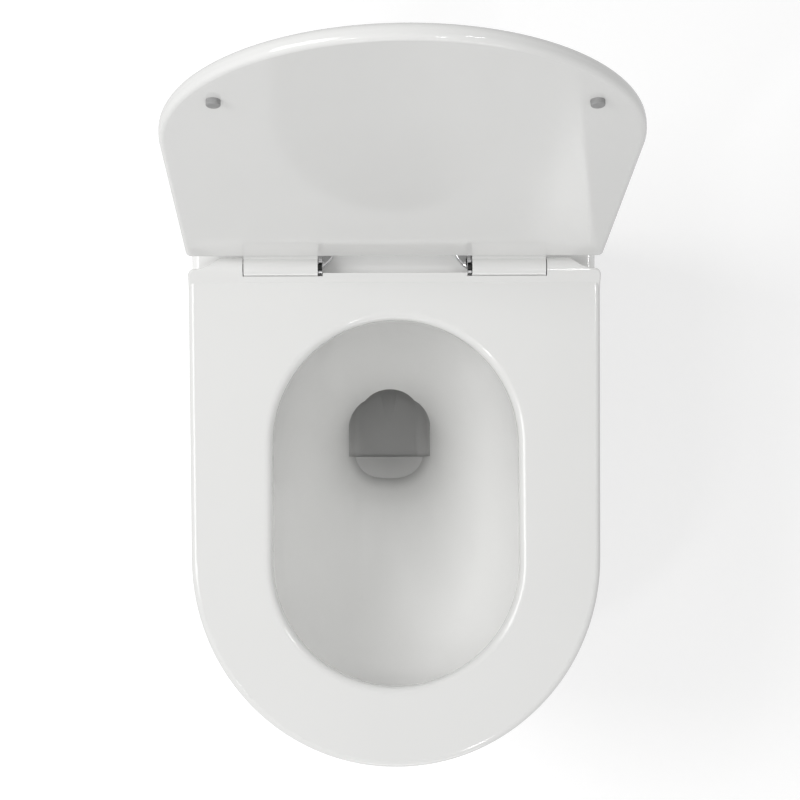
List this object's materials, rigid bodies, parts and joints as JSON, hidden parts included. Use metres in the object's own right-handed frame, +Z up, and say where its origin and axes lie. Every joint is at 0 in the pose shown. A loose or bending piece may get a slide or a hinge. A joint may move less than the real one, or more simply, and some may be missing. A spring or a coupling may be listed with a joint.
{
  "type": "wall hung toilet",
  "caption": "Wall hung toilet pan with a slim D-shaped soft-close seat and lid on chrome quick-release hinges, lid open.",
  "frame": {"origin": "on the wall plane, midway between the two wall fixing holes", "axes": "+Z up, +Y into the wall, +X to the right when facing the wall; the nose points along -Y"},
  "size_m": [0.362, 0.5367, 0.7832],
  "materials": {
    "vitreous_china": "gloss white glaze",
    "seat_duroplast": "gloss white moulded duroplast",
    "buffer_rubber": "grey soft rubber",
    "black_rubber": "black rubber",
    "steel": "plain zinc plated steel",
    "brass": "machined",
    "chrome": "polished chrome",
    "black_plastic": "black nylon",
    "grey_plastic": "grey acetal",
    "damper_plastic": "dark acetal housing",
    "white_plastic": "white"
  },
  "bodies": {
    "pan": {"bowl": "vitreous_china", "rosette_left": "chrome", "rosette_right": "chrome", "base_plate_left": "steel", "base_plate_right": "steel", "deck_pads": "black_rubber", "anchor_screws": "steel", "anchor_sleeves": "black_rubber", "anchor_nuts": "brass", "wall_sleeves": "grey_plastic", "wall_washers": "steel", "wall_nuts": "steel", "wall_caps": "white_plastic"},
    "hinge_carrier": {"hinge_block_left": "chrome", "hinge_block_right": "chrome", "hinge_axle_left": "black_plastic", "hinge_axle_right": "black_plastic", "release_spring_left": "steel", "release_spring_right": "steel"},
    "seat": {"seat_ring": "seat_duroplast", "seat_buffers": "buffer_rubber", "seat_damper": "damper_plastic", "seat_bush": "grey_plastic"},
    "lid": {"lid": "seat_duroplast", "lid_buffers": "buffer_rubber", "lid_damper": "damper_plastic", "lid_bushes": "grey_plastic"},
    "button_left": {"release_button_left": "black_plastic"},
    "button_right": {"release_button_right": "black_plastic"}
  },
  "joints": [
    {"name": "seat_lift_off", "type": "slide", "parent": "pan", "child": "hinge_carrier", "axis": [0, 0, 1], "range_m": [0, 0.04]},
    {"name": "seat_hinge", "type": "hinge", "parent": "hinge_carrier", "child": "seat", "pos_m": [0, -0.105, 0.102], "axis": [-1, 0, 0], "range_deg": [0, 97]},
    {"name": "lid_hinge", "type": "hinge", "parent": "hinge_carrier", "child": "lid", "pos_m": [0, -0.105, 0.102], "axis": [-1, 0, 0], "range_deg": [-100.9, 0]},
    {"name": "release_button_left_press", "type": "slide", "parent": "hinge_carrier", "child": "button_left", "axis": [0, -1, 0], "range_m": [0, 0.0025], "stiffness_N_per_m": 600, "deforming": ["release_spring_left"]},
    {"name": "release_button_right_press", "type": "slide", "parent": "hinge_carrier", "child": "button_right", "axis": [0, -1, 0], "range_m": [0, 0.0025], "stiffness_N_per_m": 600, "deforming": ["release_spring_right"]}
  ]
}
